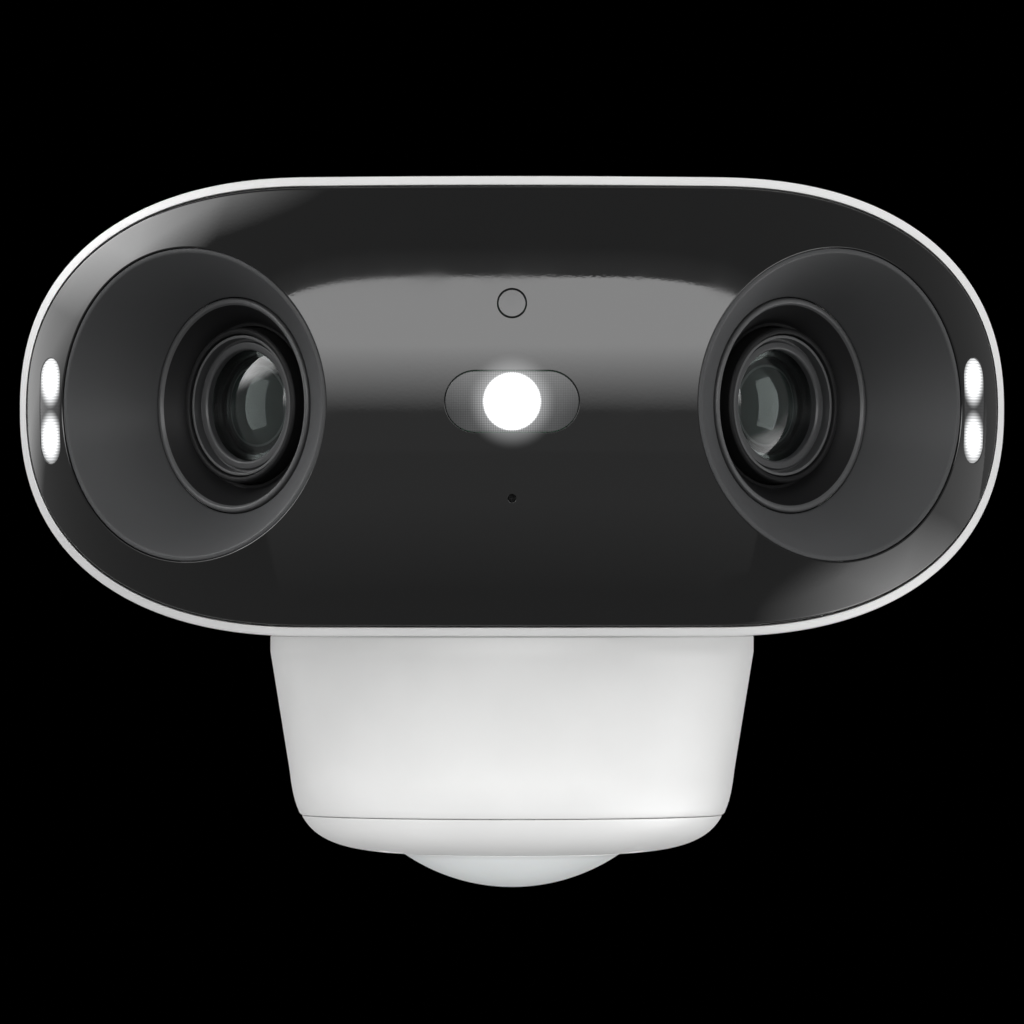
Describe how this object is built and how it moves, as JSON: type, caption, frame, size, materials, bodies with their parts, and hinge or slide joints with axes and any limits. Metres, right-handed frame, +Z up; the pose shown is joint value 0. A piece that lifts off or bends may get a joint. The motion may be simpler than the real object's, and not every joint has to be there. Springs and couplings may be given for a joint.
{
  "type": "floodlight security camera",
  "caption": "Pill-fronted security camera with two angled lenses, spot and side lights, a motion sensor dome under its round base, and a pan and tilt wall mount.",
  "frame": {"origin": "centre of the wall plate's back, in the plane of the wall", "axes": "+Y into the wall, the camera looks along -Y; +Z up; +X to the viewer's right when facing the lenses"},
  "size_m": [0.195, 0.1539, 0.1403],
  "materials": {
    "white_plastic": "fine satin mould texture",
    "grey_white_plastic": "fine satin mould texture",
    "gloss_black": "polished",
    "satin_dish": "satin",
    "black_hood": "satin anodised",
    "grey_ring": "satin",
    "lens_glass": "coated",
    "coated_glass": "coated",
    "smoked_window": "polished, smoked",
    "light_window": "ribbed diffuser",
    "light_emitter": "lit white",
    "infrared_emitter": "dark moulded epoxy",
    "circuit_board": "solder mask",
    "black_plastic": "moulded",
    "heat_sink_metal": "extruded",
    "antenna_brass": "stamped",
    "seal_rubber": "matt",
    "steel": "zinc plated",
    "white_metal": "powder coated",
    "nylon": "smooth",
    "dome_plastic": "frosted, translucent"
  },
  "bodies": {
    "wall_mount": {"wall_gasket": "seal_rubber", "wall_plate": "white_plastic", "pivot_bracket": "white_metal", "bracket_screws": "steel", "pan_pin": "steel", "pan_nut": "steel"},
    "swivel": {"swivel_arm": "white_metal", "pan_bush": "nylon", "tilt_bush": "nylon"},
    "camera": {"tilt_fork": "white_metal", "fork_screws": "steel", "tilt_pin": "steel", "tilt_nut": "steel", "front_fascia": "gloss_black", "head_shell": "white_plastic", "head_seal": "seal_rubber", "rear_cover": "white_plastic", "cover_screws": "steel", "camera_frame": "black_plastic", "left_lens_dish": "satin_dish", "right_lens_dish": "satin_dish", "left_lens_hood": "black_hood", "right_lens_hood": "black_hood", "left_lens_barrel": "black_hood", "right_lens_barrel": "black_hood", "left_retaining_ring": "grey_ring", "right_retaining_ring": "grey_ring", "left_front_glass": "lens_glass", "right_front_glass": "lens_glass", "left_inner_lens": "coated_glass", "right_inner_lens": "coated_glass", "left_image_sensor": "circuit_board", "right_image_sensor": "circuit_board", "centre_window": "smoked_window", "spot_led": "light_emitter", "infrared_leds": "infrared_emitter", "front_board": "circuit_board", "light_sensor_window": "smoked_window", "microphone_mesh": "seal_rubber", "left_side_window": "light_window", "right_side_window": "light_window", "left_side_leds": "light_emitter", "right_side_leds": "light_emitter", "main_board": "circuit_board", "heat_sink": "heat_sink_metal", "antennas": "antenna_brass", "neck_seal": "seal_rubber", "neck_screws": "steel", "base_housing": "white_plastic", "base_bottom_cap": "grey_white_plastic", "cap_screws": "steel", "motion_sensor_dome": "dome_plastic", "motion_sensor_board": "circuit_board", "power_board": "circuit_board", "speaker": "black_plastic", "reset_switch": "black_plastic", "flap_pin": "steel", "cable_gland": "black_plastic"},
    "reset_button": {"reset_button": "seal_rubber"},
    "card_flap": {"card_flap": "white_plastic"}
  },
  "joints": [
    {"name": "pan", "type": "hinge", "parent": "wall_mount", "child": "swivel", "pos_m": [0, -0.027, 0], "axis": [0, 0, 1], "range_deg": [-30, 30]},
    {"name": "tilt", "type": "hinge", "parent": "swivel", "child": "camera", "pos_m": [0, -0.05, 0], "axis": [1, 0, 0], "range_deg": [-20, 30]},
    {"name": "reset_press", "type": "slide", "parent": "camera", "child": "reset_button", "axis": [0, -1, 0], "range_m": [0, 0.0008], "stiffness_N_per_m": 800},
    {"name": "card_flap_hinge", "type": "hinge", "parent": "camera", "child": "card_flap", "pos_m": [0.003, -0.0708, -0.056], "axis": [-1, 0, 0], "range_deg": [0, 95]}
  ]
}
